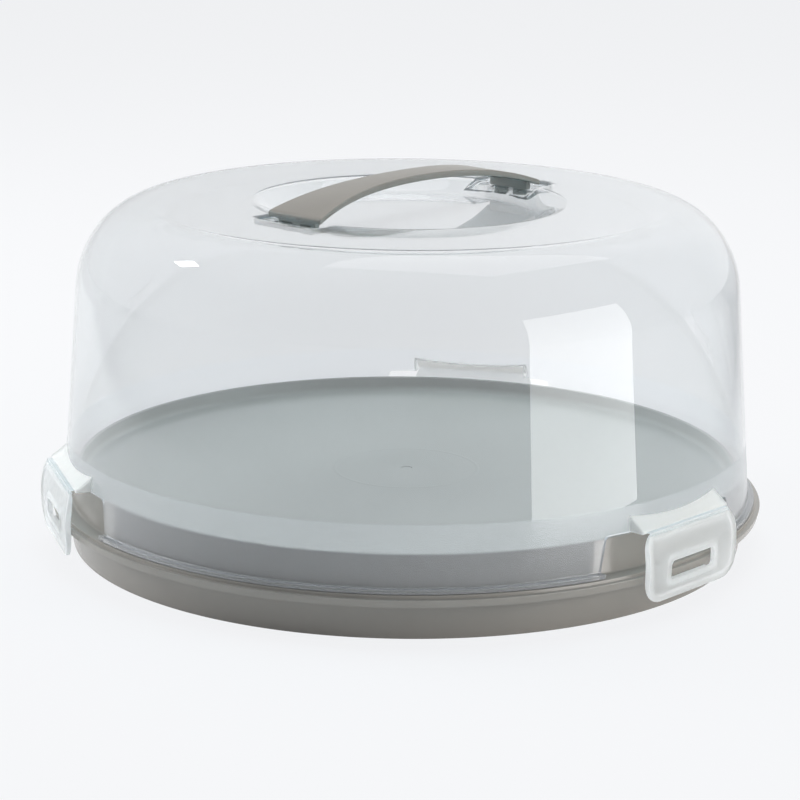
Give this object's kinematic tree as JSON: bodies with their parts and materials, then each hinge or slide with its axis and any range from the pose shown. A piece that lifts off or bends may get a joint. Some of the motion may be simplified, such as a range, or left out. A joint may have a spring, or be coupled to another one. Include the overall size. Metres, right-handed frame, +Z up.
{
  "type": "round cake carrier",
  "caption": "Round cake carrier: low stepped tray, clear domed lift-off hood with frosted collar, arched carrying handle in the dished crown, and clip flaps on film hinges.",
  "frame": {"origin": "on the carrier's axis, in the plane that the tray's foot rim stands on", "axes": "+Z up; the front clip is towards -Y, the other two clips are 120 degrees round from it, and the handle runs along X"},
  "size_m": [0.345, 0.3474, 0.1777],
  "materials": {
    "taupe_plastic": "fine satin grain",
    "clear_plastic": "clear, polished",
    "handle_plastic": "satin",
    "milky_plastic": "milky, lightly frosted"
  },
  "bodies": {
    "base": {"base_tray": "taupe_plastic"},
    "hood": {"hood": "clear_plastic", "handle": "handle_plastic", "film_hinge_front": "milky_plastic", "film_hinge_right": "milky_plastic", "film_hinge_left": "milky_plastic"},
    "clip_front": {"clip_front": "milky_plastic"},
    "clip_right": {"clip_right": "milky_plastic"},
    "clip_left": {"clip_left": "milky_plastic"}
  },
  "joints": [
    {"name": "hood_lift", "type": "slide", "parent": "base", "child": "hood", "axis": [0, 0, 1], "range_m": [0, 0.14]},
    {"name": "clip_front_hinge", "type": "hinge", "parent": "hood", "child": "clip_front", "pos_m": [0, -0.17151, 0.0406], "axis": [-1, 0, 0], "range_deg": [0, 135]},
    {"name": "clip_right_hinge", "type": "hinge", "parent": "hood", "child": "clip_right", "pos_m": [0.14853, 0.08575, 0.0406], "axis": [0.5, -0.866, 0], "range_deg": [0, 135]},
    {"name": "clip_left_hinge", "type": "hinge", "parent": "hood", "child": "clip_left", "pos_m": [-0.14853, 0.08575, 0.0406], "axis": [0.5, 0.866, 0], "range_deg": [0, 135]}
  ]
}
